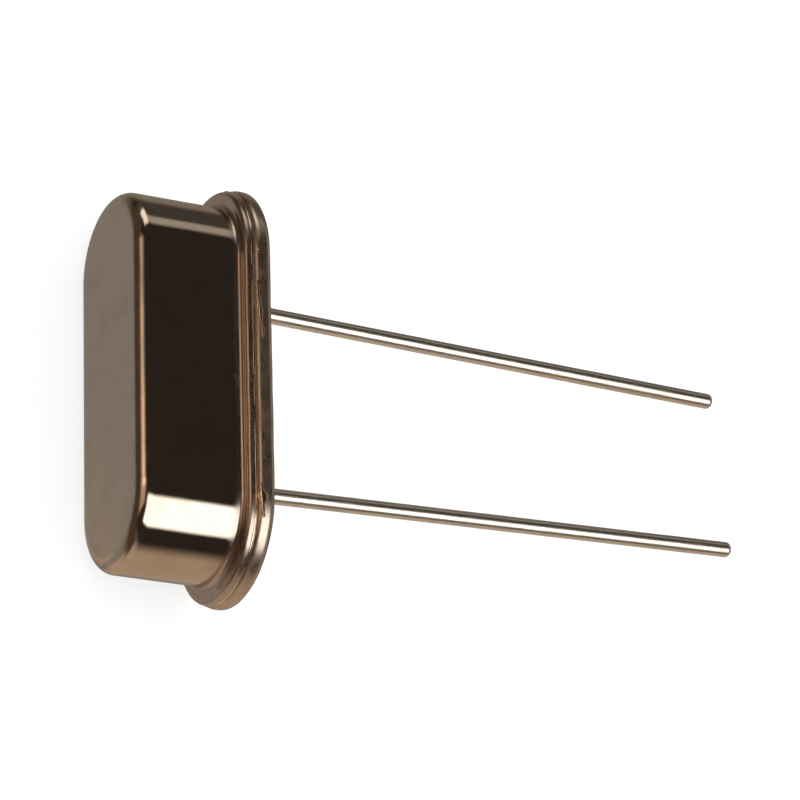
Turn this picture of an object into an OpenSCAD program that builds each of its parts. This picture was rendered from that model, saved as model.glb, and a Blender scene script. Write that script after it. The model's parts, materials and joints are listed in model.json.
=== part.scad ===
// Low-profile quartz crystal unit: a drawn metal can welded to a glass-sealed
// base with two wire leads, and the mounted quartz strip inside it.
//
// The unit can't stand on its own, so it lies as it comes to rest on a table:
// on the edge of the base flange and the rounded top edge of the can.
// The origin is the centre of the seating face, the flat underside of the base.
// X runs the way the leads point, Y along the long side of the can, Z is up.
//
// Each sub-part is drawn standing on a board, with the leads down, and then
// laid down by lay(). In that standing frame x is the long side, z is up.

/* [Can] */
// Length of the can wall from end to end
can_length = 9.85; // [8:0.05:12]
// Width of the can wall between its two flat sides
can_width = 3.65; // [3:0.05:5]
// Height of the can's top face above the seating face
can_height = 3.42; // [3:0.01:4.5]
// Thickness of the drawn can sheet
can_sheet = 0.2; // [0.12:0.01:0.3]
// Outside radius of the rounded top edge
top_radius = 0.4; // [0.32:0.01:0.7]
// Outside radius where the wall turns out into the can's flange
foot_radius = 0.18; // [0.1:0.01:0.22]
// How far the can's flange reaches past the wall at each side
can_flange_sides = 0.3; // [0.24:0.01:0.45]
// How far the can's flange reaches past the wall at each end
can_flange_ends = 0.45; // [0.3:0.01:0.6]
// Radius of the rounded upper edge of the can's flange
flange_round = 0.14; // [0.05:0.01:0.18]

/* [Base] */
// How far the base flange reaches past the can's flange at each end
base_step_ends = 0.045; // [0:0.005:0.3]
// How far the base flange reaches past the can's flange at each side
base_step_sides = 0.155; // [0.1:0.005:0.4]
// Thickness of the base flange
base_thick = 0.48; // [0.42:0.01:0.6]
// Radius of the base flange's rounded edges
base_edge = 0.2; // [0.1:0.01:0.2]
// Height of the raised middle of the base, which fits inside the can
plinth_height = 0.27; // [0.15:0.01:0.35]
// Clearance between the raised middle and the can's inner wall
plinth_gap = 0.08; // [0.04:0.01:0.15]
// Bevel on the raised middle's top edge
plinth_bevel = 0.08; // [0.02:0.01:0.12]

/* [Leads] */
// Distance between the two leads where they leave the base
lead_pitch = 4.88; // [4.4:0.01:5.2]
// Diameter of a lead wire
lead_diameter = 0.4; // [0.35:0.01:0.5]
// Length of the left lead below the seating face
lead_length = 14.2; // [2:0.1:16]
// How much shorter the right lead is cut
lead_trim = 0.3; // [0:0.05:0.6]
// Angle by which each lead leans in towards the other
lead_toe = 1.6; // [0.4:0.1:3]
// Radius of the rounded edge at a lead's tip
tip_radius = 0.13; // [0.05:0.01:0.16]
// Diameter of the flattened head on a lead's inner end
head_diameter = 0.84; // [0.7:0.01:1]
// Thickness of the flattened head
head_thick = 0.1; // [0.06:0.01:0.15]
// Height of the wire between the base's top and the head
head_gap = 0.2; // [0.15:0.01:0.3]

/* [Glass seals] */
// Diameter of the glass bead around each lead
seal_diameter = 1.5; // [1.2:0.05:1.8]
// How far the glass lies back from the seating face
seal_recess = 0.06; // [0.02:0.01:0.12]
// Height to which the glass climbs the lead inside the can
seal_rise = 0.1; // [0.04:0.01:0.12]

/* [Quartz strip] */
// Distance from the strip's end to the outside of the can's end wall
blank_margin = 0.925; // [0.7:0.005:1.2]
// Width of the quartz strip
blank_width = 1.8; // [1.2:0.1:2]
// Thickness of the quartz strip
blank_thick = 0.14; // [0.08:0.01:0.3]
// Height of the strip's underside above the raised middle of the base
blank_rise = 1.13; // [0.95:0.01:1.25]
// Length of the metal film's main area
film_length = 4.6; // [3:0.1:5.2]
// Width of the metal film's main area
film_width = 1.3; // [0.8:0.1:1.6]
// Width of the film's tab that runs to the strip's end
film_tab = 0.5; // [0.3:0.05:0.8]
// Thickness of the metal film
film_thick = 0.02; // [0.02:0.01:0.03]

/* [Mounting clips] */
// Width of a clip
clip_width = 1.2; // [0.9:0.05:1.4]
// Thickness of the clip's spring sheet
clip_sheet = 0.1; // [0.06:0.01:0.12]
// Length of the foot welded onto a lead's head
clip_foot = 0.9; // [0.7:0.05:1]
// Length of the shelf under the strip's end
clip_shelf = 0.7; // [0.5:0.05:0.9]
// Gap between the strip's end and the clip's upturned lip
clip_gap = 0.15; // [0.08:0.01:0.2]
// Height of the upturned lip above the shelf
clip_lip = 0.34; // [0.2:0.01:0.45]
// Radius of the drop of conductive adhesive
drop_radius = 0.56; // [0.45:0.01:0.6]
// How far the middle of the drop lies below the top of the shelf
drop_sink = 0.1; // [0:0.01:0.2]

/* [View] */
// The node to draw, or all of them

/* [Hidden] */
$fn = 64;

// Length and width of the base flange
base_length = can_length + 2 * (can_flange_ends + base_step_ends);
base_width = can_width + 2 * (can_flange_sides + base_step_sides);
// Half width of the can wall, of the can's flange and of the base flange
can_half = can_width / 2;
flange_half = can_half + can_flange_sides;
base_half = base_width / 2;
// Half length of the straight sides of the can and of its flange
can_spine = (can_length - can_width) / 2;
flange_spine = can_spine + can_flange_ends - can_flange_sides;
// Radius of a lead and of its glass bead
lead_r = lead_diameter / 2;
seal_r = seal_diameter / 2;
// Height of the raised middle's top face
plinth_top = base_thick + plinth_height;
// Heights of the head's underside and of the clip's foot
head_level = plinth_top + head_gap;
foot_level = head_level + head_thick;
// Length of the quartz strip and the height of its underside
blank_length = can_length - 2 * blank_margin;
blank_level = plinth_top + blank_rise;
// Height of the shelf's top face, one film below the quartz
shelf_level = blank_level - film_thick;
// Distances along x of the clip's bends, counted from the middle
foot_start = lead_pitch / 2 - clip_foot / 2;
foot_end = lead_pitch / 2 + clip_foot / 2;
lip_inside = blank_length / 2 + clip_gap;
shelf_start = lip_inside - clip_shelf;
// The resting tilt: the floor touches the base flange's edge and the can's top edge
rest_run = can_height - top_radius - base_edge;
rest_drop = (base_half - base_edge) - (can_half - top_radius);
rest_tilt = atan(rest_drop / rest_run)
    - asin((top_radius - base_edge) / norm([rest_run, rest_drop]));

nickel = [0.62, 0.57, 0.51];
steel = [0.58, 0.55, 0.51];
lead_metal = [0.66, 0.62, 0.57];
glass = [0.13, 0.22, 0.21];
quartz = [0.86, 0.9, 0.92, 0.6];
silver = [0.83, 0.82, 0.79];
spring = [0.7, 0.68, 0.63];
adhesive = [0.55, 0.55, 0.54];

// Lays a standing sub-part down on its broad side, at the resting tilt
module lay() {
    rotate([0, -rest_tilt, 0])
        rotate([-90, 0, 90])
            children();
}

// A quarter of a disc, in the corner where x and y are positive
module quarter(r) {
    intersection() {
        circle(r = r);
        square(2 * r);
    }
}

// The waste corner outside a quarter of a disc, used for fillets
module spandrel(r) {
    difference() {
        square(r);
        translate([r, r])
            circle(r = r);
    }
}

// Section from the centre line to a wall, with a rounded top corner
module rounded_section(half, low, high, r) {
    translate([0, low])
        square([half - r, high - low]);
    translate([half - r, low])
        square([r, high - low - r]);
    translate([half - r, high - r])
        quarter(r);
}

// Sweeps a half section around a long oval with full-round ends
module oval(spine) {
    for (turn = [-90, 90])
        rotate([0, 0, turn])
            translate([0, spine, 0])
                rotate_extrude(angle = 180)
                    children();
    translate([-spine, 0, 0])
        rotate([90, 0, 90])
            linear_extrude(height = 2 * spine) {
                children();
                mirror([1, 0])
                    children();
            }
}

// Outside of the can: wall, rounded top and the fillet down to the flange
module cover_outside() {
    rounded_section(can_half, base_thick, can_height, top_radius);
    translate([can_half, base_thick + can_sheet / 2])
        square([foot_radius, can_sheet / 2]);
    translate([can_half, base_thick + can_sheet])
        spandrel(foot_radius);
}

// Inside of the can: the same shape one sheet thickness in
module cover_inside() {
    rounded_section(can_half - can_sheet, base_thick - 1, can_height - can_sheet, top_radius - can_sheet);
    translate([can_half - can_sheet, base_thick])
        spandrel(foot_radius + can_sheet);
}

module cover() {
    color(nickel)
        lay()
            difference() {
                union() {
                    oval(can_spine)
                        cover_outside();
                    oval(flange_spine)
                        rounded_section(flange_half, base_thick, base_thick + can_sheet, flange_round);
                }
                oval(can_spine)
                    cover_inside();
            }
}

// Section of the base flange with both edges rounded
module flange_section() {
    translate([0, base_edge])
        square([base_half, base_thick - 2 * base_edge]);
    square([base_half - base_edge, base_edge]);
    translate([0, base_thick - base_edge])
        square([base_half - base_edge, base_edge]);
    translate([base_half - base_edge, base_thick - base_edge])
        quarter(base_edge);
    translate([base_half - base_edge, base_edge])
        mirror([0, 1])
            quarter(base_edge);
}

// Section of the raised middle, bevelled at the top
module plinth_section() {
    half = can_half - can_sheet - plinth_gap;
    polygon([
        [0, base_thick - 0.1],
        [half, base_thick - 0.1],
        [half, plinth_top - plinth_bevel],
        [half - plinth_bevel, plinth_top],
        [0, plinth_top]
    ]);
}

module base() {
    color(steel)
        lay()
            difference() {
                union() {
                    oval((base_length - base_width) / 2)
                        flange_section();
                    oval(can_spine)
                        plinth_section();
                }
                for (side = [-1, 1])
                    translate([side * lead_pitch / 2, 0, -1])
                        cylinder(r = seal_r, h = plinth_top + 2);
            }
}

// Glass bead that fills a hole in the base and climbs the lead a little
module seal(side) {
    color(glass)
        lay()
            translate([side * lead_pitch / 2, 0, 0])
                rotate_extrude()
                    polygon([
                        [lead_r, seal_recess],
                        [seal_r - seal_recess, seal_recess],
                        [seal_r, seal_recess / 3],
                        [seal_r, plinth_top],
                        [lead_r + seal_rise, plinth_top + seal_rise / 4],
                        [lead_r, plinth_top + seal_rise]
                    ]);
}

// Lead on the positive side: head, upright neck, and the long wire that leans in.
// A ball a hair wider than the wire closes the slight kink at the seating face.
module lead_shape(length) {
    translate([lead_pitch / 2, 0, head_level])
        cylinder(d = head_diameter, h = head_thick);
    translate([lead_pitch / 2, 0, 0])
        cylinder(r = lead_r, h = head_level);
    translate([lead_pitch / 2, 0, 0])
        sphere(r = lead_r * 1.01);
    translate([lead_pitch / 2, 0, 0])
        rotate([0, 180 + lead_toe, 0])
            rotate_extrude()
                rounded_section(lead_r, 0, length / cos(lead_toe), tip_radius);
}

module lead_left() {
    color(lead_metal)
        lay()
            rotate([0, 0, 180])
                lead_shape(lead_length);
}

module lead_right() {
    color(lead_metal)
        lay()
            lead_shape(lead_length - lead_trim);
}

// Spring clip: foot on the lead's head, rising arm, shelf and upturned lip
module clip(side) {
    color(spring)
        lay()
            rotate([90, 0, side > 0 ? 0 : 180])
                translate([0, 0, -clip_width / 2])
                    linear_extrude(height = clip_width)
                        polygon([
                            [foot_start, foot_level],
                            [foot_end, foot_level],
                            [shelf_start + clip_sheet / 2, shelf_level - clip_sheet],
                            [lip_inside + clip_sheet, shelf_level - clip_sheet],
                            [lip_inside + clip_sheet, shelf_level + clip_lip],
                            [lip_inside, shelf_level + clip_lip],
                            [lip_inside, shelf_level],
                            [shelf_start, shelf_level],
                            [foot_end - clip_sheet / 2, foot_level + clip_sheet],
                            [foot_start, foot_level + clip_sheet]
                        ]);
}

module blank_shape() {
    translate([-blank_length / 2, -blank_width / 2, blank_level])
        cube([blank_length, blank_width, blank_thick]);
}

module quartz_strip() {
    color(quartz)
        lay()
            blank_shape();
}

// Metal film on one face of the strip, with a tab to the end on the given side
module film_shape(side, level) {
    translate([0, 0, level])
        linear_extrude(height = film_thick)
            union() {
                square([film_length, film_width], center = true);
                translate([side > 0 ? 0 : -blank_length / 2, -film_tab / 2])
                    square([blank_length / 2, film_tab]);
            }
}

module film_top() {
    color(silver)
        lay()
            film_shape(-1, blank_level + blank_thick);
}

module film_bottom() {
    color(silver)
        lay()
            film_shape(1, blank_level - film_thick);
}

// Drop of conductive adhesive that holds the strip's end to its clip
module adhesive_drop(side) {
    color(adhesive)
        lay()
            difference() {
                intersection() {
                    translate([side * (lip_inside - clip_shelf / 2), 0, shelf_level - drop_sink])
                        sphere(r = drop_radius);
                    translate([side > 0 ? 0 : -lip_inside, -clip_width / 2, shelf_level])
                        cube([lip_inside, clip_width, 2 * drop_radius]);
                }
                blank_shape();
                film_shape(-1, blank_level + blank_thick);
                film_shape(1, blank_level - film_thick);
            }
}

cover();
base();
seal(-1);  // seal_left
seal(1);  // seal_right
lead_left();
lead_right();
clip(-1);  // clip_left
clip(1);  // clip_right
quartz_strip();
film_top();
film_bottom();
adhesive_drop(-1);  // adhesive_left
adhesive_drop(1);  // adhesive_right
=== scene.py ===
import json
import math

import bpy
from mathutils import Matrix, Vector, noise
from mathutils.geometry import tessellate_polygon


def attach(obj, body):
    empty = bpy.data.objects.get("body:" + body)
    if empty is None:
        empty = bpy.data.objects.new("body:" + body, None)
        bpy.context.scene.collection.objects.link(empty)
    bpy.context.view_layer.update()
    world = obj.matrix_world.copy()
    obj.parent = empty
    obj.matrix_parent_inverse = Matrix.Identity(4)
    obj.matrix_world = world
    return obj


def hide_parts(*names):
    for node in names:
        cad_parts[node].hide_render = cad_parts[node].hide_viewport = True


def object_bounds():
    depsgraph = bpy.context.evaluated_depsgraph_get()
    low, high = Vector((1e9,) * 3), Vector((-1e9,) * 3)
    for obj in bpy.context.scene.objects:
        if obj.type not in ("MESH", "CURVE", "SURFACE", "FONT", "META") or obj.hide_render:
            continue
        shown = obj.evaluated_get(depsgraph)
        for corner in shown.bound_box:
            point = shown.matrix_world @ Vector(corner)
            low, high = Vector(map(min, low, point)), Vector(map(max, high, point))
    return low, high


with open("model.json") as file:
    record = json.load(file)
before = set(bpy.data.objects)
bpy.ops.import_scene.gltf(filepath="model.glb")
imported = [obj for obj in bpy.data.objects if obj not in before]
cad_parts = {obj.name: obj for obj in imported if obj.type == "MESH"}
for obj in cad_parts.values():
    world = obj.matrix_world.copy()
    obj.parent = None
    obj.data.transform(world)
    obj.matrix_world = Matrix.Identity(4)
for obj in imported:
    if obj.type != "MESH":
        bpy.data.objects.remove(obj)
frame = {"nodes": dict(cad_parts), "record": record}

# Low-profile quartz crystal unit, lying on the edges of its can and its base flange.
# The visible metal and glass are drawn standing, in millimetres: x runs along the can's
# long side, z towards the can's top face, and z = 0 is the base's flat underside.
# lay() then puts them in the row frame, in metres.

CAD_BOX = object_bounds()
MM = 0.001
NODES = frame["nodes"]


# ---------------------------------------------------------------- the standing frame

def seat_direction():
    """The way the leads point out of the base, from the part's own seat mount."""
    for mount in frame["record"]["mounts"]:
        if mount["name"] == "seat":
            return Vector(mount["axis"]).normalized()
    raise ValueError("the record has no seat mount")


LEADS_WAY = seat_direction()
LONG_SIDE = Vector((0, 1, 0))
UP = -LEADS_WAY
THROUGH = UP.cross(LONG_SIDE)
STANDING = Matrix((LONG_SIDE, THROUGH, UP)).transposed()


def lay(point):
    """A standing point in millimetres, as a row-frame point in metres."""
    return STANDING @ (Vector(point) * MM)


def standing_box(node):
    """Lowest and highest corner of a CAD node, standing, in millimetres."""
    back = STANDING.transposed()
    corners = [back @ v.co / MM for v in NODES[node].data.vertices]
    low = Vector([min(c[i] for c in corners) for i in range(3)])
    high = Vector([max(c[i] for c in corners) for i in range(3)])
    return low, high


# ---------------------------------------------------------------- sizes in millimetres

COVER_LOW, COVER_HIGH = standing_box("cover")
_, BASE_HIGH = standing_box("base")
SEAL_LOW, SEAL_HIGH = standing_box("seal_right")
LEAD_LOW, LEAD_HIGH = standing_box("lead_right")

CAN_TOP = COVER_HIGH.z
FLANGE_HALF = COVER_HIGH.y
FLANGE_SPINE = COVER_HIGH.x - COVER_HIGH.y
CAN_FLANGE_SIDES = 0.3
CAN_FLANGE_ENDS = 0.45
CAN_HALF = FLANGE_HALF - CAN_FLANGE_SIDES
CAN_SPINE = COVER_HIGH.x - CAN_FLANGE_ENDS - CAN_HALF
CAN_SHEET = 0.2
TOP_RADIUS = 0.4
FLANGE_ROUND = 0.14
# The narrow flat between the curve at the wall's foot and the flange's rounded edge
FLANGE_FLAT = 0.004
FOOT_RADIUS = CAN_FLANGE_SIDES - FLANGE_ROUND - FLANGE_FLAT
FLANGE_LEVEL = COVER_LOW.z

BASE_HALF = BASE_HIGH.y
BASE_SPINE = BASE_HIGH.x - BASE_HIGH.y
BASE_EDGE = 0.2
PLINTH_TOP = BASE_HIGH.z
PLINTH_CLEARANCE = 0.08
PLINTH_HALF = CAN_HALF - CAN_SHEET - PLINTH_CLEARANCE
PLINTH_BEVEL = 0.08

SEAL_RADIUS = (SEAL_HIGH.x - SEAL_LOW.x) / 2
LEAD_OFFSET = (SEAL_HIGH.x + SEAL_LOW.x) / 2
LEAD_RADIUS = 0.2
LEAD_TOE = math.radians(1.6)
LEAD_TIP = 0.13
HEAD_RADIUS = (LEAD_HIGH.y - LEAD_LOW.y) / 2
HEAD_TOP = LEAD_HIGH.z
HEAD_THICK = 0.1
HEAD_EDGE = HEAD_THICK * 0.3

# How far pressing, welding and drawing leave an edge or a wire from its true line
CAN_UNEVEN = 0.02
BASE_UNEVEN = 0.016
LEAD_UNEVEN = 0.0035
LEAD_BOW = 0.03

# Steps round each end of an oval, and along each of its sides
END_STEPS = 48
SIDE_STEPS = 30
# Profile stops, or points of a ring, that are closer than this are one
SAME_STOP = 1e-9
SAME_POINT = 1e-6


# ---------------------------------------------------------------- mesh making

class Metalwork:
    """Points, faces and exact corner normals of one piece, gathered as it is drawn."""

    def __init__(self):
        self.points, self.faces, self.normals, self.wear = [], [], [], []

    def add(self, point, wear=0.0):
        self.points.append(Vector(point))
        self.wear.append(wear)
        return len(self.points) - 1

    def face(self, corners, normals):
        """One face, turned so that it faces the way its corner normals point."""
        a, b, c = (self.points[i] for i in corners[:3])
        if (b - a).cross(c - a).dot(sum(normals, Vector())) < 0:
            corners, normals = corners[::-1], normals[::-1]
        self.faces.append(tuple(corners))
        self.normals.extend(normals)

    def strip(self, ring_a, ring_b, normals_a, normals_b):
        """Faces between two closed rings of as many points."""
        count = len(ring_a)
        for i in range(count):
            j = (i + 1) % count
            self.face(
                [ring_a[i], ring_a[j], ring_b[j], ring_b[i]],
                [normals_a[i], normals_a[j], normals_b[j], normals_b[i]],
            )

    def lid(self, rings, normal):
        """A flat face inside the first ring, with the other rings left open."""
        flat = [i for ring in rings for i in ring]
        for tri in tessellate_polygon([[self.points[i] for i in ring] for ring in rings]):
            self.face([flat[i] for i in tri], [Vector(normal)] * 3)

    def finish(self, name, slot, material, *stands_for):
        mesh = bpy.data.meshes.new(name)
        mesh.from_pydata([lay(p) for p in self.points], [], self.faces)
        mesh.polygons.foreach_set("use_smooth", [True] * len(mesh.polygons))
        mesh.normals_split_custom_set([STANDING @ n.normalized() for n in self.normals])
        worn = mesh.attributes.new("wear", "FLOAT", "POINT")
        worn.data.foreach_set("value", self.wear)
        mesh.materials.append(material)
        piece = bpy.data.objects.new(name, mesh)
        bpy.context.scene.collection.objects.link(piece)
        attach(piece, "root")
        if stands_for:
            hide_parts(*stands_for)
        return piece


def oval(reach, spine):
    """Points and outward ways of a long oval with full-round ends."""
    points, outs = [], []
    for side in (1, -1):
        for step in range(END_STEPS + 1):
            turn = math.pi * (step / END_STEPS - 0.5)
            out = Vector((side * math.cos(turn), side * math.sin(turn), 0))
            points.append(Vector((side * spine, 0, 0)) + out * reach)
            outs.append(out)
        for step in range(1, SIDE_STEPS):
            along = side * spine * (1 - 2 * step / SIDE_STEPS)
            out = Vector((0, side, 0))
            points.append(Vector((along, 0, 0)) + out * reach)
            outs.append(out)
    return points, outs


def arc(centre, radius, start, end, steps):
    """Profile points (reach, height, way out, way up) along an arc, angles in degrees."""
    run = []
    for step in range(steps + 1):
        turn = math.radians(start + (end - start) * step / steps)
        c, s = math.cos(turn), math.sin(turn)
        run.append((centre[0] + radius * c, centre[1] + radius * s, c, s))
    return run


def wobble(point, size, scale=1.4):
    """A slow, small unevenness such as a press and a weld leave."""
    return size * noise.noise(Vector(point) * scale + Vector((3.1, 7.7, 1.3)))


def sweep(work, runs, wear=None, uneven=None):
    """Sweeps profile runs round their ovals; joins them where a point repeats."""
    rings, last = [], None
    stops = [(spine, *stop) for spine, run in runs for stop in run]
    for spine, reach, height, out_way, up_way in stops:
        points, outs = oval(reach, spine)
        here = (spine, reach, height)
        same = last is not None and sum(abs(a - b) for a, b in zip(last, here)) < SAME_STOP
        if same:
            ring = rings[-1][0]
        else:
            worn = wear(reach, height) if wear else 0.0
            shift = uneven(reach, height) if uneven else 0.0
            ring = [
                work.add(p + Vector((0, 0, height)) + o * wobble(p, shift), worn)
                for p, o in zip(points, outs)
            ]
        normals = [o * out_way + Vector((0, 0, up_way)) for o in outs]
        if last is not None and not same:
            work.strip(rings[-1][0], ring, rings[-1][1], normals)
        rings.append((ring, normals))
        last = here
    return rings[0][0], rings[-1][0]


def flat(reach, height, up_way):
    return (reach, height, 0, up_way)


def wall(reach, height, out_way):
    return (reach, height, out_way, 0)


# ---------------------------------------------------------------- shared effects

CLOUD_ROUGHNESS = 0.55


def socket(group, name, kind, way, value=None):
    made = group.interface.new_socket(name=name, in_out=way, socket_type=kind)
    if value is not None:
        made.default_value = value
    return made


def new_group(name, inputs, outputs):
    group = bpy.data.node_groups.new(name, "ShaderNodeTree")
    for label, value in inputs:
        socket(group, label, "NodeSocketFloat", "INPUT", value)
    for label in outputs:
        socket(group, label, "NodeSocketFloat", "OUTPUT")
    start = group.nodes.new("NodeGroupInput")
    end = group.nodes.new("NodeGroupOutput")
    return group, start, end


def node(tree, kind, **settings):
    made = tree.nodes.new(kind)
    for key, value in settings.items():
        setattr(made, key, value)
    return made


def ramp(tree, source, low, high, to_low=0.0, to_high=1.0):
    """A value brought from one range to another, with soft ends."""
    made = node(tree, "ShaderNodeMapRange", interpolation_type="SMOOTHSTEP")
    tree.links.new(source, made.inputs["Value"])
    made.inputs["From Min"].default_value = low
    made.inputs["From Max"].default_value = high
    made.inputs["To Min"].default_value = to_low
    made.inputs["To Max"].default_value = to_high
    return made.outputs["Result"]


def maths(tree, operation, a, b=None):
    made = node(tree, "ShaderNodeMath", operation=operation)
    for slot_index, value in enumerate((a, b)):
        if value is None:
            continue
        if isinstance(value, (int, float)):
            made.inputs[slot_index].default_value = value
        else:
            tree.links.new(value, made.inputs[slot_index])
    return made.outputs[0]


def millimetres(tree, stretch=(1, 1, 1)):
    """Object coordinates in millimetres, turned so that x is the leads' way, stretched."""
    place = node(tree, "ShaderNodeTexCoord")
    turn = node(tree, "ShaderNodeMapping")
    tree.links.new(place.outputs["Object"], turn.inputs["Vector"])
    tilt = math.atan2(LEADS_WAY.z, LEADS_WAY.x)
    turn.inputs["Rotation"].default_value = (0, tilt, 0)
    turn.inputs["Scale"].default_value = tuple(s / MM for s in stretch)
    return turn.outputs["Vector"]


def cloud(tree, vector, scale, detail=3.0):
    """Even noise; a scale of 1 gives lumps of about a millimetre."""
    made = node(tree, "ShaderNodeTexNoise")
    made.inputs["Scale"].default_value = scale
    made.inputs["Detail"].default_value = detail
    made.inputs["Roughness"].default_value = CLOUD_ROUGHNESS
    tree.links.new(vector, made.inputs["Vector"])
    return made.outputs["Fac"]


def make_draw_grain():
    """Fine grain of drawn, plated metal: tiny pits, and faint lines along the draw."""
    group, start, end = new_group(
        "draw_grain", [("Pits", 1.0), ("Lines", 0.5)], ["Height"]
    )
    pits = cloud(group, millimetres(group), 22.0, 2.0)
    lines = cloud(group, millimetres(group, (0.35, 6.0, 6.0)), 4.0, 2.0)
    both = maths(
        group, "ADD",
        maths(group, "MULTIPLY", pits, start.outputs["Pits"]),
        maths(group, "MULTIPLY", lines, start.outputs["Lines"]),
    )
    group.links.new(both, end.inputs["Height"])
    return group


def make_ripple():
    """Slow ripple of pressed sheet, which bends what the polish mirrors."""
    group, start, end = new_group("press_ripple", [("Depth", 1.0)], ["Height"])
    slow = cloud(group, millimetres(group), 0.55, 1.0)
    group.links.new(
        maths(group, "MULTIPLY", slow, start.outputs["Depth"]), end.inputs["Height"]
    )
    return group


def make_handling():
    """Soft smudges and a haze left by handling."""
    group, start, end = new_group("handling_marks", [("Amount", 1.0)], ["Marks"])
    patches = ramp(group, cloud(group, millimetres(group), 0.9, 5.0), 0.45, 0.72)
    streaks = ramp(
        group, cloud(group, millimetres(group, (0.5, 2.6, 1.2)), 1.7, 4.0), 0.5, 0.8
    )
    total = maths(group, "MAXIMUM", patches, maths(group, "MULTIPLY", streaks, 0.6))
    group.links.new(
        maths(group, "MULTIPLY", total, start.outputs["Amount"]), end.inputs["Marks"]
    )
    return group


def make_edge_wear():
    """Plating rubbed thin on rounded edges, broken up by noise."""
    group, start, end = new_group("edge_wear", [("Amount", 1.0)], ["Worn"])
    worn = node(group, "ShaderNodeAttribute", attribute_name="wear")
    patches = cloud(group, millimetres(group, (1, 0.5, 1)), 5.0, 2.0)
    broken = ramp(group, patches, 0.28, 0.72)
    total = maths(group, "MULTIPLY", worn.outputs["Fac"], broken)
    group.links.new(
        maths(group, "MULTIPLY", total, start.outputs["Amount"]), end.inputs["Worn"]
    )
    return group


# The height up to which the weld's heat is full, and how much higher it is gone
HEAT_FADES = FLANGE_LEVEL + CAN_SHEET + FOOT_RADIUS * 0.6
HEAT_BAND = 0.25


def make_weld_heat():
    """Plating browned and dulled by the weld, fading up the can's wall."""
    group, start, end = new_group("weld_heat", [("Amount", 1.0)], ["Heat"])
    split = node(group, "ShaderNodeSeparateXYZ")
    group.links.new(millimetres(group), split.inputs[0])
    depth = maths(group, "ADD", split.outputs["X"], HEAT_FADES)
    near = ramp(group, depth, -HEAT_BAND, 0.0)
    patches = cloud(group, millimetres(group, (1, 0.4, 1)), 2.4, 4.0)
    patchy = ramp(group, patches, 0.2, 0.6, 0.5)
    total = maths(group, "MULTIPLY", near, patchy)
    group.links.new(
        maths(group, "MULTIPLY", total, start.outputs["Amount"]), end.inputs["Heat"]
    )
    return group


WELD_HEAT = make_weld_heat()
DRAW_GRAIN = make_draw_grain()
PRESS_RIPPLE = make_ripple()
HANDLING = make_handling()
EDGE_WEAR = make_edge_wear()


# ---------------------------------------------------------------- finishes

def use(tree, group, output, **values):
    placed = node(tree, "ShaderNodeGroup", node_tree=group)
    for key, value in values.items():
        placed.inputs[key].default_value = value
    return placed.outputs[output]


def blend_colour(tree, factor, first, second):
    mix = node(tree, "ShaderNodeMix", data_type="RGBA")
    tree.links.new(factor, mix.inputs["Factor"])
    for name, colour in (("A", first), ("B", second)):
        entry = [s for s in mix.inputs if s.name == name and s.type == "RGBA"][0]
        if isinstance(colour, tuple):
            entry.default_value = (*colour, 1)
        else:
            tree.links.new(colour, entry)
    return [s for s in mix.outputs if s.type == "RGBA"][0]


def bump(tree, height, depth, below=None):
    """Depth is the height in millimetres that a full step of the texture stands for."""
    made = node(tree, "ShaderNodeBump")
    made.inputs["Distance"].default_value = depth * MM
    made.inputs["Strength"].default_value = 1.0
    tree.links.new(height, made.inputs["Height"])
    if below is not None:
        tree.links.new(below, made.inputs["Normal"])
    return made.outputs["Normal"]


def new_finish(name, **plain):
    material = bpy.data.materials.new(name)
    material.use_nodes = True
    tree = material.node_tree
    shader = tree.nodes["Principled BSDF"]
    for key, value in plain.items():
        shader.inputs[key.replace("_", " ").title().replace("Ior", "IOR")].default_value = value
    return material, tree, shader


# Worn edges: how much of them shows, how much brighter and how much rougher they are
WORN_SHARE = 0.6
WORN_BRIGHTER = 1.18
WORN_ROUGHER = 0.08
# Plating by the weld: its colour, and how much rougher it is
HEATED = (0.56, 0.45, 0.385)
HEATED_ROUGHER = 0.2


def metal(name, colour, stained, roughness, hazed, grain, lines, ripple=0.0, heat=0.0):
    """Plated metal with stains, haze, grain and worn edges; depths are in millimetres."""
    material, tree, shader = new_finish(name, metallic=1.0)
    marks = use(tree, HANDLING, "Marks", Amount=1.0)
    edges = use(tree, EDGE_WEAR, "Worn", Amount=WORN_SHARE)
    tint = blend_colour(tree, marks, colour, stained)
    bright = tuple(min(1.0, c * WORN_BRIGHTER) for c in colour)
    tint = blend_colour(tree, edges, tint, bright)
    haze = ramp(tree, marks, 0.0, 1.0, roughness, hazed)
    haze = maths(tree, "ADD", haze, maths(tree, "MULTIPLY", edges, WORN_ROUGHER))
    if heat:
        browned = use(tree, WELD_HEAT, "Heat", Amount=heat)
        tint = blend_colour(tree, browned, tint, HEATED)
        haze = maths(tree, "ADD", haze, maths(tree, "MULTIPLY", browned, HEATED_ROUGHER))
    tree.links.new(tint, shader.inputs["Base Color"])
    tree.links.new(haze, shader.inputs["Roughness"])
    surface = bump(tree, use(tree, DRAW_GRAIN, "Height", Pits=1.0, Lines=lines), grain)
    if ripple:
        surface = bump(tree, use(tree, PRESS_RIPPLE, "Height", Depth=1.0), ripple, surface)
    tree.links.new(surface, shader.inputs["Normal"])
    return material


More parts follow.
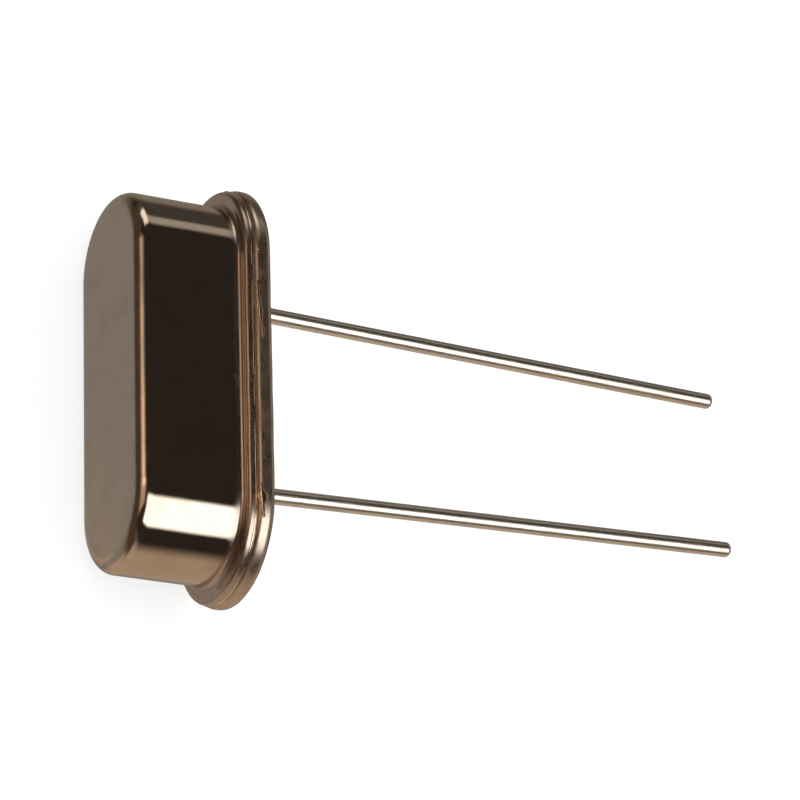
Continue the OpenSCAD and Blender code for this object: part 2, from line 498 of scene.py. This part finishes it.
CAN_NICKEL = metal(
    "can_nickel", colour=(0.66, 0.56, 0.47), stained=(0.60, 0.49, 0.40),
    roughness=0.05, hazed=0.085, grain=0.00035, lines=0.5, ripple=0.012, heat=1.0,
)
BASE_NICKEL = metal(
    "base_nickel", colour=(0.60, 0.50, 0.41), stained=(0.48, 0.38, 0.30),
    roughness=0.26, hazed=0.34, grain=0.0005, lines=0.4, ripple=0.010,
)
LEAD_WIRE = metal(
    "lead_wire", colour=(0.86, 0.81, 0.74), stained=(0.70, 0.64, 0.56),
    roughness=0.28, hazed=0.36, grain=0.0008, lines=1.6,
)
WELD_METAL = metal(
    "weld_metal", colour=(0.84, 0.72, 0.58), stained=(0.62, 0.48, 0.38),
    roughness=0.10, hazed=0.20, grain=0.002, lines=0.3,
)
CLIP_SPRING = metal(
    "clip_spring", colour=(0.72, 0.68, 0.60), stained=(0.62, 0.56, 0.48),
    roughness=0.22, hazed=0.34, grain=0.001, lines=1.8,
)
SILVER_FILM = metal(
    "silver_film", colour=(0.90, 0.88, 0.84), stained=(0.82, 0.78, 0.70),
    roughness=0.12, hazed=0.22, grain=0.0006, lines=0.2,
)


def sealing_glass():
    """Dark blue-green sealing glass with a skin of tiny bubbles."""
    material, tree, shader = new_finish(
        "seal_glass", metallic=0.0, ior=1.52, coat_weight=0.4, coat_roughness=0.04
    )
    depth = ramp(tree, cloud(tree, millimetres(tree), 2.2, 4.0), 0.35, 0.7)
    tree.links.new(
        blend_colour(tree, depth, (0.012, 0.045, 0.048), (0.03, 0.085, 0.075)),
        shader.inputs["Base Color"],
    )
    marks = use(tree, HANDLING, "Marks", Amount=0.6)
    tree.links.new(ramp(tree, marks, 0.0, 1.0, 0.07, 0.2), shader.inputs["Roughness"])
    bubbles = node(tree, "ShaderNodeTexVoronoi", feature="SMOOTH_F1")
    bubbles.inputs["Scale"].default_value = 9.0
    tree.links.new(millimetres(tree), bubbles.inputs["Vector"])
    tree.links.new(
        bump(tree, ramp(tree, bubbles.outputs["Distance"], 0.0, 0.3), 0.006),
        shader.inputs["Normal"],
    )
    return material


def lapped_quartz():
    """Clear quartz with the fine grey bloom of lapping."""
    material, tree, shader = new_finish(
        "quartz", metallic=0.0, ior=1.54, transmission_weight=0.85
    )
    bloom = cloud(tree, millimetres(tree), 14.0, 3.0)
    tree.links.new(
        blend_colour(tree, ramp(tree, bloom, 0.3, 0.7), (0.88, 0.92, 0.93), (0.78, 0.84, 0.86)),
        shader.inputs["Base Color"],
    )
    tree.links.new(ramp(tree, bloom, 0.3, 0.7, 0.22, 0.38), shader.inputs["Roughness"])
    tree.links.new(bump(tree, bloom, 0.002), shader.inputs["Normal"])
    return material


def silver_paste():
    """Cured silver-filled adhesive: grey, dull, with glints of flake."""
    material, tree, shader = new_finish("silver_adhesive", coat_weight=0.15)
    flakes = node(tree, "ShaderNodeTexVoronoi", feature="F1")
    flakes.inputs["Scale"].default_value = 30.0
    tree.links.new(millimetres(tree), flakes.inputs["Vector"])
    glint = ramp(tree, flakes.outputs["Distance"], 0.1, 0.45, 1.0, 0.0)
    tree.links.new(
        blend_colour(tree, glint, (0.36, 0.36, 0.35), (0.72, 0.71, 0.69)),
        shader.inputs["Base Color"],
    )
    tree.links.new(maths(tree, "MULTIPLY", glint, 0.9), shader.inputs["Metallic"])
    tree.links.new(ramp(tree, glint, 0.0, 1.0, 0.62, 0.32), shader.inputs["Roughness"])
    lumps = cloud(tree, millimetres(tree), 5.0, 4.0)
    tree.links.new(bump(tree, lumps, 0.02), shader.inputs["Normal"])
    return material


SEAL_GLASS = sealing_glass()
QUARTZ = lapped_quartz()
SILVER_PASTE = silver_paste()


# ---------------------------------------------------------------- can

def make_can():
    """The drawn can: rounded top, straight wall, outward foot and welded flange."""
    work = Metalwork()
    flange_top = FLANGE_LEVEL + CAN_SHEET
    outside = (
        arc((CAN_HALF - TOP_RADIUS, CAN_TOP - TOP_RADIUS), TOP_RADIUS, 90, 0, 24)
        + arc((CAN_HALF + FOOT_RADIUS, flange_top + FOOT_RADIUS), -FOOT_RADIUS, 0, 90, 14)
    )
    edge = arc((FLANGE_HALF - FLANGE_ROUND, flange_top - FLANGE_ROUND), FLANGE_ROUND, 90, 0, 16)
    edge += [wall(FLANGE_HALF, FLANGE_LEVEL, 1)]
    inner_half = CAN_HALF - CAN_SHEET
    inner_top = CAN_TOP - CAN_SHEET
    inner_round = TOP_RADIUS - CAN_SHEET
    inner_foot = FOOT_RADIUS + CAN_SHEET
    inside = (
        [flat(inner_half + inner_foot, FLANGE_LEVEL, -1)]
        + arc((inner_half + inner_foot, FLANGE_LEVEL + inner_foot), -inner_foot, 90, 0, 10)
        + arc((inner_half - inner_round, inner_top - inner_round), inner_round, 0, 90, 8)
    )
    inside = inside[:1] + [(r, h, -abs(o), -abs(u)) for r, h, o, u in inside[1:]]

    edge_start = FLANGE_HALF - FLANGE_ROUND * 0.7

    def worn(reach, height):
        on_top = height > CAN_TOP - TOP_RADIUS * 0.8 and reach > CAN_HALF - TOP_RADIUS * 0.9
        return 1.0 if on_top or reach > edge_start else 0.0

    def uneven(reach, height):
        return CAN_UNEVEN if reach > edge_start else 0.0

    top, foot = sweep(work, [(CAN_SPINE, outside), (FLANGE_SPINE, edge)], worn, uneven)
    rim, ceiling = sweep(work, [(CAN_SPINE, inside)])
    work.lid([top], (0, 0, 1))
    work.lid([ceiling], (0, 0, -1))
    down = [Vector((0, 0, -1))] * len(foot)
    work.strip(foot, rim, down, down)
    return work.finish("can_shell", "can_nickel", CAN_NICKEL, "cover")


# ---------------------------------------------------------------- base

def hole_ring(work, side, height, steps=64):
    ring = []
    for step in range(steps):
        turn = 2 * math.pi * step / steps
        ring.append(work.add((
            side * LEAD_OFFSET + SEAL_RADIUS * math.cos(turn),
            SEAL_RADIUS * math.sin(turn),
            height,
        )))
    return ring


def make_base():
    """The base: a rounded flange, a raised middle inside the can, and two holes."""
    work = Metalwork()
    flange_top = FLANGE_LEVEL
    edge_reach = BASE_HALF - BASE_EDGE
    flange = (
        arc((edge_reach, BASE_EDGE), BASE_EDGE, -90, 0, 16)
        + arc((edge_reach, flange_top - BASE_EDGE), BASE_EDGE, 0, 90, 16)
    )
    plinth = [
        flat(PLINTH_HALF, flange_top, 1),
        wall(PLINTH_HALF, flange_top, 1),
        wall(PLINTH_HALF, PLINTH_TOP - PLINTH_BEVEL, 1),
        (PLINTH_HALF, PLINTH_TOP - PLINTH_BEVEL, 1, 1),
        (PLINTH_HALF - PLINTH_BEVEL, PLINTH_TOP, 1, 1),
        flat(PLINTH_HALF - PLINTH_BEVEL, PLINTH_TOP, 1),
    ]

    def worn(reach, height):
        return 1.0 if reach > edge_reach + BASE_EDGE * 0.4 else 0.0

    def uneven(reach, height):
        return BASE_UNEVEN if reach > edge_reach + BASE_EDGE * 0.1 else 0.0

    bottom, shoulder = sweep(work, [(BASE_SPINE, flange)], worn, uneven)
    step, top = sweep(work, [(CAN_SPINE, plinth)])
    up = [Vector((0, 0, 1))] * len(step)
    work.strip(shoulder, step, up, up)
    under, over = [bottom], [top]
    for side in (-1, 1):
        low, high = hole_ring(work, side, 0.0), hole_ring(work, side, PLINTH_TOP)
        centre = Vector((side * LEAD_OFFSET, 0, 0))
        ways = [Vector((centre.x - work.points[i].x, -work.points[i].y, 0)) for i in low]
        work.strip(low, high, ways, ways)
        under.append(low)
        over.append(high)
    work.lid(under, (0, 0, -1))
    work.lid(over, (0, 0, 1))
    return work.finish("base_plate", "base_nickel", BASE_NICKEL, "base")


# ---------------------------------------------------------------- leads and glass

def turned(work, rings, steps=40, closed_start=True, closed_end=True):
    """Joins rings of (centre, axis, radius, side way, axis way) into a round piece."""
    laid_rings = []
    for centre, axis, radius, side_way, axis_way in rings:
        axis = Vector(axis).normalized()
        across = axis.cross(Vector((0, 1, 0))).normalized()
        over = axis.cross(across)
        ring, ways = [], []
        for step in range(steps):
            turn = 2 * math.pi * step / steps
            out = across * math.cos(turn) + over * math.sin(turn)
            ring.append(Vector(centre) + out * radius)
            ways.append(out * side_way + axis * axis_way)
        laid_rings.append((ring, ways, axis))
    last_ring, last_ways = None, None
    for index, (ring, ways, axis) in enumerate(laid_rings):
        same = last_ring is not None and all(
            (work.points[i] - p).length < SAME_POINT for i, p in zip(last_ring, ring)
        )
        made = last_ring if same else [work.add(p) for p in ring]
        if index == 0 and closed_start:
            work.lid([made], -axis)
        if last_ring is not None and not same:
            work.strip(last_ring, made, last_ways, ways)
        last_ring, last_ways = made, ways
    if closed_end:
        work.lid([last_ring], laid_rings[-1][2])


def make_lead(name, side, material):
    """A lead: flattened head, neck through the glass, slight bend, long wire, round tip."""
    work = Metalwork()
    low, _ = standing_box(name)
    tip_level = low.z
    way = Vector((-side * math.sin(LEAD_TOE), 0, -math.cos(LEAD_TOE)))
    down = Vector((0, 0, -1))
    root = Vector((side * LEAD_OFFSET, 0, 0))
    rings = []
    edge = HEAD_EDGE
    for turn in (90, 60, 30, 0):
        c, s = math.cos(math.radians(turn)), math.sin(math.radians(turn))
        centre = root + Vector((0, 0, HEAD_TOP - edge + edge * s))
        rings.append((centre, down, HEAD_RADIUS - edge + edge * c, c, -s))
    for turn in (0, -30, -60, -90):
        c, s = math.cos(math.radians(turn)), math.sin(math.radians(turn))
        centre = root + Vector((0, 0, HEAD_TOP - HEAD_THICK + edge + edge * s))
        rings.append((centre, down, HEAD_RADIUS - edge + edge * c, c, -s))
    neck = HEAD_TOP - HEAD_THICK
    rings.append((root + Vector((0, 0, neck)), down, LEAD_RADIUS, 0, 1))
    rings.append((root + Vector((0, 0, neck)), down, LEAD_RADIUS, 1, 0))
    bend = 0.4
    for step in range(9):
        share = step / 8
        lean = LEAD_TOE * share
        axis = Vector((-side * math.sin(lean), 0, -math.cos(lean)))
        level = bend * (1 - 2 * share)
        drift = max(0.0, -level) * math.tan(LEAD_TOE)
        smooth = bend * math.tan(LEAD_TOE) * 0.5 * share * (1 - share)
        centre = root + Vector((-side * (drift + smooth), 0, level))
        rings.append((centre, axis, LEAD_RADIUS, 1, 0))
    length = (-tip_level - (LEAD_RADIUS - LEAD_TIP) * math.sin(LEAD_TOE)) / math.cos(LEAD_TOE)
    straight = length - LEAD_TIP
    pieces = 90
    for step in range(1, pieces + 1):
        far = bend / math.cos(LEAD_TOE) + (straight - bend / math.cos(LEAD_TOE)) * step / pieces
        uneven = LEAD_UNEVEN * noise.noise(Vector((far * 0.9, side * 5.0, 0)))
        bow = LEAD_BOW * math.sin(math.pi * far / length) * side
        centre = root + way * far + Vector((bow * 0.4, bow, 0)) * (step < pieces)
        rings.append((centre, way, LEAD_RADIUS + uneven * (step < pieces), 1, 0))
    for turn in range(0, 91, 9):
        c, s = math.cos(math.radians(turn)), math.sin(math.radians(turn))
        centre = root + way * (straight + LEAD_TIP * s)
        rings.append((centre, way, LEAD_RADIUS - LEAD_TIP + LEAD_TIP * c, c, s))
    turned(work, rings)
    return work.finish(name + "_wire", "lead_wire", material, name)


def make_seal(name, side):
    """A glass bead with a curved surface that climbs the lead and the hole's wall."""
    work = Metalwork()
    low, high = standing_box(name)
    down = Vector((0, 0, -1))
    root = Vector((side * LEAD_OFFSET, 0, 0))
    inner, outer = LEAD_RADIUS, SEAL_RADIUS
    sag = 0.05
    rings = []
    steps = 14
    for step in range(steps + 1):
        share = step / steps
        hollow = 4 * share * (1 - share)
        slope = sag * 4 * (1 - 2 * share) / (outer - inner)
        centre = root + Vector((0, 0, low.z + sag * (hollow ** 0.8 if hollow else 0.0)))
        rings.append((centre, down, inner + (outer - inner) * share, slope, 1))
    rings.append((root + Vector((0, 0, low.z)), down, outer, 1, 0))
    rings.append((root + Vector((0, 0, PLINTH_TOP)), down, outer, 1, 0))
    for step in range(steps + 1):
        share = 1 - step / steps
        climb = (high.z - PLINTH_TOP) * (1 - share) ** 3
        slope = 3 * (high.z - PLINTH_TOP) * (1 - share) ** 2 / (outer - inner)
        centre = root + Vector((0, 0, PLINTH_TOP + climb))
        rings.append((centre, down, inner + (outer - inner) * share, slope, -1))
    rings.append((root + Vector((0, 0, high.z)), down, inner, -1, 0))
    rings.append((root + Vector((0, 0, low.z)), down, inner, -1, 0))
    turned(work, rings, 56, False, False)
    return work.finish(name + "_glass", "seal_glass", SEAL_GLASS, name)


# ---------------------------------------------------------------- weld

SEAM_INSET = 0.012
SEAM_LIFT = 0.005
SEAM_THICK = 0.030
SEAM_LEAST = 0.012
# Each ridge: where it starts and ends along the base flange, and how far up its rounded
# edge it lies there, in degrees
RIDGES = ((2.3, 0.75, 46, 6), (-3.0, -3.9, 44, 20))
RIDGE_STEPS_A_MM = 40
RIDGE_LEAST = 0.006
RIDGE_THICK = 0.032
RIDGE_SWELL = 0.15
RIDGE_STRAY = 9
RIDGE_SUNK = 0.006
# Each droplet: its place along the flange, how far up the edge it lies, and its size
DROPLETS = ((3.1, 30, 0.02), (0.2, 52, 0.016), (-1.7, 38, 0.018))
DROPLET_LONG = 1.6
DROPLET_SUNK = 0.008


def rope(work, stops, closed):
    """A thin uneven rope of metal along stops of (place, way out, thickness)."""
    steps = 8
    rows = []
    for place, out, thick in stops:
        row, ways = [], []
        for step in range(steps):
            turn = 2 * math.pi * step / steps
            away = out * math.cos(turn) + Vector((0, 0, math.sin(turn)))
            row.append(work.add(place + away * thick, wear=0.6))
            ways.append(away)
        rows.append((row, ways))
    for (row_a, ways_a), (row_b, ways_b) in zip(rows, rows[1:] + rows[:1] * closed):
        work.strip(row_a, row_b, ways_a, ways_b)


def make_weld_seam():
    """The thin uneven line of metal squeezed out where can flange meets base flange."""
    work = Metalwork()
    points, outs = oval(FLANGE_HALF - SEAM_INSET, FLANGE_SPINE)
    stops = []
    for point, out in zip(points, outs):
        thick = SEAM_THICK + wobble(point, 0.022, 3.2) + wobble(point, 0.010, 9.0)
        place = point + Vector((0, 0, FLANGE_LEVEL + SEAM_LIFT))
        stops.append((place, out, max(thick, SEAM_LEAST)))
    rope(work, stops, True)
    return work.finish("weld_seam", "can_nickel", WELD_METAL)


def weld_bead(work, centre, size, seed):
    """One small droplet of weld metal, flattened and lumpy."""
    rows, columns = 7, 12
    grid = []
    for row in range(rows + 1):
        tilt = math.pi * row / rows
        line = []
        for column in range(columns):
            turn = 2 * math.pi * column / columns
            way = Vector((
                math.sin(tilt) * math.cos(turn), math.sin(tilt) * math.sin(turn), math.cos(tilt)
            ))
            lump = 1 + 0.4 * noise.noise(way * 1.6 + Vector((seed, seed * 0.7, 0)))
            spot = Vector((way.x * size.x, way.y * size.y, way.z * size.z)) * lump
            if 0 < row < rows or column == 0:
                line.append((work.add(centre + spot, wear=0.5), way))
        grid.append(line if len(line) > 1 else line * columns)
    for row in range(rows):
        for column in range(columns):
            after = (column + 1) % columns
            corners = [
                grid[row][column], grid[row][after],
                grid[row + 1][after], grid[row + 1][column],
            ]
            seen, kept = set(), []
            for index, way in corners:
                if index not in seen:
                    seen.add(index)
                    kept.append((index, way))
            work.face([k[0] for k in kept], [k[1] for k in kept])


def make_spatter():
    """Weld metal squeezed onto the base flange's edge: two ragged ridges, a few droplets."""
    work = Metalwork()
    edge_reach = BASE_HALF - BASE_EDGE

    def on_edge(along, turn, sunk):
        turn = math.radians(turn)
        reach = BASE_EDGE - sunk
        return Vector((
            along,
            -(edge_reach + reach * math.cos(turn)),
            FLANGE_LEVEL - BASE_EDGE + reach * math.sin(turn),
        ))

    for start, end, turn_start, turn_end in RIDGES:
        steps = int(abs(start - end) * RIDGE_STEPS_A_MM)
        stops = []
        for step in range(steps + 1):
            share = step / steps
            along = start + (end - start) * share
            stray = RIDGE_STRAY * noise.noise(Vector((along * 2.6, 3.3, 0)))
            swell = abs(noise.noise(Vector((along * 3.4, 0.4, 8.0))))
            full = (RIDGE_THICK + RIDGE_SWELL * swell) * math.sin(math.pi * share) ** 0.5
            turn = turn_start + (turn_end - turn_start) * share + stray
            place = on_edge(along, turn, RIDGE_SUNK)
            stops.append((place, Vector((0, -1, 0)), RIDGE_LEAST + full))
        rope(work, stops, False)
    for along, turn, size in DROPLETS:
        shape = Vector((size * DROPLET_LONG, size, size))
        weld_bead(work, on_edge(along, turn, DROPLET_SUNK), shape, along)
    return work.finish("weld_spatter", "base_nickel", WELD_METAL)


# ---------------------------------------------------------------- build the unit

make_can()
make_base()
for lead_side, lead_name, seal_name in (
    (-1, "lead_left", "seal_left"),
    (1, "lead_right", "seal_right"),
):
    make_lead(lead_name, lead_side, LEAD_WIRE)
    make_seal(seal_name, lead_side)
make_weld_seam()
make_spatter()

for kept, finish in (
    ("clip_left", CLIP_SPRING),
    ("clip_right", CLIP_SPRING),
    ("quartz_strip", QUARTZ),
    ("film_top", SILVER_FILM),
    ("film_bottom", SILVER_FILM),
    ("adhesive_left", SILVER_PASTE),
    ("adhesive_right", SILVER_PASTE),
):
    NODES[kept].data.materials.clear()
    NODES[kept].data.materials.append(finish)


# ---------------------------------------------------------------- floor, light, camera

def make_floor():
    """A plain pale table top, big enough to reach the horizon."""
    level = min(CAD_BOX[0].z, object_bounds()[0].z)
    half = 3.0
    mesh = bpy.data.meshes.new("table_top")
    mesh.from_pydata(
        [(-half, -half, level), (half, -half, level), (half, half, level), (-half, half, level)],
        [], [(0, 1, 2, 3)],
    )
    material, tree, shader = new_finish(
        "table_white", roughness=0.9, specular_ior_level=0.1,
        emission_color=(1, 1, 1, 1), emission_strength=0.72,
    )
    shade = ramp(tree, cloud(tree, millimetres(tree), 0.02, 2.0), 0.3, 0.7)
    tree.links.new(
        blend_colour(tree, shade, (0.36, 0.36, 0.36), (0.38, 0.38, 0.38)),
        shader.inputs["Base Color"],
    )
    mesh.materials.append(material)
    table = bpy.data.objects.new("table_top", mesh)
    bpy.context.scene.collection.objects.link(table)
    table.visible_glossy = False


# Each card, all in degrees but the tone: the axis it is hung round, the middle of its
# arc, half its width and how soft its sides are; where it starts and ends towards the
# pole and how soft those ends are; its tone.
ROOM = (0.030, 0.024, 0.019)
CARDS = [
    # the ground: grey, with a lighter patch below, warmer and lighter on the left,
    # darker on the right and darkest low behind the can's top
    ("round", 0, 181, 5, -95, -36, 24, (0.285, 0.262, 0.238)),
    ("round", 130, 40, 12, -95, -66, 1.6, (0.40, 0.32, 0.25)),
    ("round", -75, 62, 12, -80, 0, 12, (0.48, 0.37, 0.27)),
    ("round", 52, 36, 14, -50, -9, 11, (0.25, 0.21, 0.17)),
    ("round", 180, 62, 8, -34, 2, 12, (0.085, 0.050, 0.033)),
    # big soft light high on the left
    ("left", 60, 22.5, 4, -33, 33, 7, (2.2, 2.15, 2.05)),
    # dim wall, grey light and bright light on the right
    ("right", 8, 16, 5, -60, 60, 5, (0.07, 0.06, 0.05)),
    ("right", 32, 7, 4, -12, 60, 4, (0.44, 0.40, 0.35)),
    ("right", 24, 14, 5, -27, -3, 6, (1.3, 1.2, 1.08)),
    # warm light behind the can's top, strongest in a narrow strip
    ("round", 165, 16, 4, 12, 35, 9, (0.27, 0.22, 0.16)),
    ("round", 177, 20, 5, 6, 36, 13, (0.60, 0.42, 0.28)),
    ("round", 163, 6, 4.5, 14, 33, 10, (1.5, 1.07, 0.74)),
    # grey light beyond the leads
    ("round", 0, 42, 10, 2, 32, 9, (0.34, 0.31, 0.27)),
]


def make_card_group():
    """A soft-edged card round the set: a patch of directions, as a mask."""
    group = bpy.data.node_groups.new("studio_card", "ShaderNodeTree")
    socket(group, "Across", "NodeSocketFloat", "INPUT")
    socket(group, "Along", "NodeSocketFloat", "INPUT")
    socket(group, "Pole", "NodeSocketFloat", "INPUT")
    for label in ("Middle", "Half Width", "Soft Sides", "Low", "High", "Soft Ends"):
        socket(group, label, "NodeSocketFloat", "INPUT", 0.1)
    socket(group, "Mask", "NodeSocketFloat", "OUTPUT")
    start, end = node(group, "NodeGroupInput"), node(group, "NodeGroupOutput")
    turn = maths(group, "ARCTAN2", start.outputs["Along"], start.outputs["Across"])
    off = maths(group, "SUBTRACT", turn, start.outputs["Middle"])
    fold = node(group, "ShaderNodeMath", operation="WRAP")
    group.links.new(off, fold.inputs[0])
    fold.inputs[1].default_value = math.pi
    fold.inputs[2].default_value = -math.pi
    off = maths(group, "ABSOLUTE", fold.outputs[0])
    rise = maths(group, "ARCSINE", start.outputs["Pole"])

    def edge(value, limit, soft, rising):
        made = node(group, "ShaderNodeMapRange", interpolation_type="SMOOTHSTEP")
        group.links.new(value, made.inputs["Value"])
        group.links.new(maths(group, "SUBTRACT", limit, soft), made.inputs["From Min"])
        group.links.new(maths(group, "ADD", limit, soft), made.inputs["From Max"])
        made.inputs["To Min"].default_value = 0.0 if rising else 1.0
        made.inputs["To Max"].default_value = 1.0 if rising else 0.0
        return made.outputs["Result"]

    mask = edge(off, start.outputs["Half Width"], start.outputs["Soft Sides"], False)
    soft = start.outputs["Soft Ends"]
    mask = maths(group, "MULTIPLY", mask, edge(rise, start.outputs["Low"], soft, True))
    mask = maths(group, "MULTIPLY", mask, edge(rise, start.outputs["High"], soft, False))
    group.links.new(mask, end.inputs["Mask"])
    return group


def make_surroundings():
    """White room for the table; cards and dark gaps for what the polish mirrors."""
    world = bpy.data.worlds.new("studio")
    bpy.context.scene.world = world
    world.use_nodes = True
    world.cycles.sampling_method = "NONE"
    tree = world.node_tree
    tree.nodes.clear()
    out = node(tree, "ShaderNodeOutputWorld")
    card_group = make_card_group()
    place = node(tree, "ShaderNodeTexCoord")
    split = node(tree, "ShaderNodeSeparateXYZ")
    tree.links.new(place.outputs["Generated"], split.inputs[0])
    x, y, z = split.outputs
    minus_y = maths(tree, "MULTIPLY", y, -1.0)
    frames = {"round": (x, y, z), "left": (minus_y, z, x), "right": (y, z, x)}

    def card(way, middle, half, soft_sides, low, high, soft_ends):
        placed = node(tree, "ShaderNodeGroup", node_tree=card_group)
        for label, source in zip(("Across", "Along", "Pole"), frames[way]):
            tree.links.new(source, placed.inputs[label])
        for label, value in (
            ("Middle", middle), ("Half Width", half), ("Soft Sides", soft_sides),
            ("Low", low), ("High", high), ("Soft Ends", soft_ends),
        ):
            placed.inputs[label].default_value = math.radians(value)
        return placed.outputs["Mask"]

    colour = None
    for *shape, tone in CARDS:
        colour = blend_colour(tree, card(*shape), ROOM if colour is None else colour, tone)
    mirrored = node(tree, "ShaderNodeBackground")
    tree.links.new(colour, mirrored.inputs["Color"])
    plain = node(tree, "ShaderNodeBackground")
    plain.inputs["Color"].default_value = (1, 1, 1, 1)
    plain.inputs["Strength"].default_value = 1.04
    rays = node(tree, "ShaderNodeLightPath")
    open_room = maths(
        tree, "MAXIMUM", rays.outputs["Is Camera Ray"], rays.outputs["Is Diffuse Ray"]
    )
    mix = node(tree, "ShaderNodeMixShader")
    tree.links.new(open_room, mix.inputs[0])
    tree.links.new(mirrored.outputs[0], mix.inputs[1])
    tree.links.new(plain.outputs[0], mix.inputs[2])
    tree.links.new(mix.outputs[0], out.inputs["Surface"])


def make_light():
    """One wide soft light over the set, for gentle shading of the table."""
    lamp = bpy.data.lights.new("soft_light", "AREA")
    lamp.shape = "DISK"
    lamp.size = 0.12
    lamp.energy = 0.02
    holder = bpy.data.objects.new("soft_light", lamp)
    holder.location = (-0.05, -0.09, 0.16)
    holder.rotation_euler = (-Vector(holder.location)).to_track_quat("-Z", "Y").to_euler()
    holder.visible_glossy = False
    bpy.context.scene.collection.objects.link(holder)


def make_camera():
    """A long lens that looks down on the unit, rolled so that the can stands tall."""
    aim = Vector((3.340, -0.097, 2.359)) * MM
    distance = 106.0 * MM
    round_way, height, roll = (math.radians(a) for a in (-147.209, 47.906, 62.584))
    back = Vector((
        math.cos(height) * math.cos(round_way), math.cos(height) * math.sin(round_way),
        math.sin(height),
    ))
    across = Vector((0, 0, 1)).cross(back).normalized()
    above = back.cross(across)
    up = above * math.cos(roll) - across * math.sin(roll)
    right = up.cross(back)
    lens = bpy.data.cameras.new("camera")
    lens.lens = 192.3
    lens.sensor_width = 36.0
    lens.clip_start = 0.001
    lens.clip_end = 20.0
    camera = bpy.data.objects.new("camera", lens)
    turn = Matrix((right, up, back)).transposed().to_4x4()
    camera.matrix_world = Matrix.Translation(aim + back * distance) @ turn
    bpy.context.scene.collection.objects.link(camera)
    bpy.context.scene.camera = camera


make_floor()
make_surroundings()
make_light()
make_camera()
bpy.context.scene.view_settings.view_transform = "Standard"
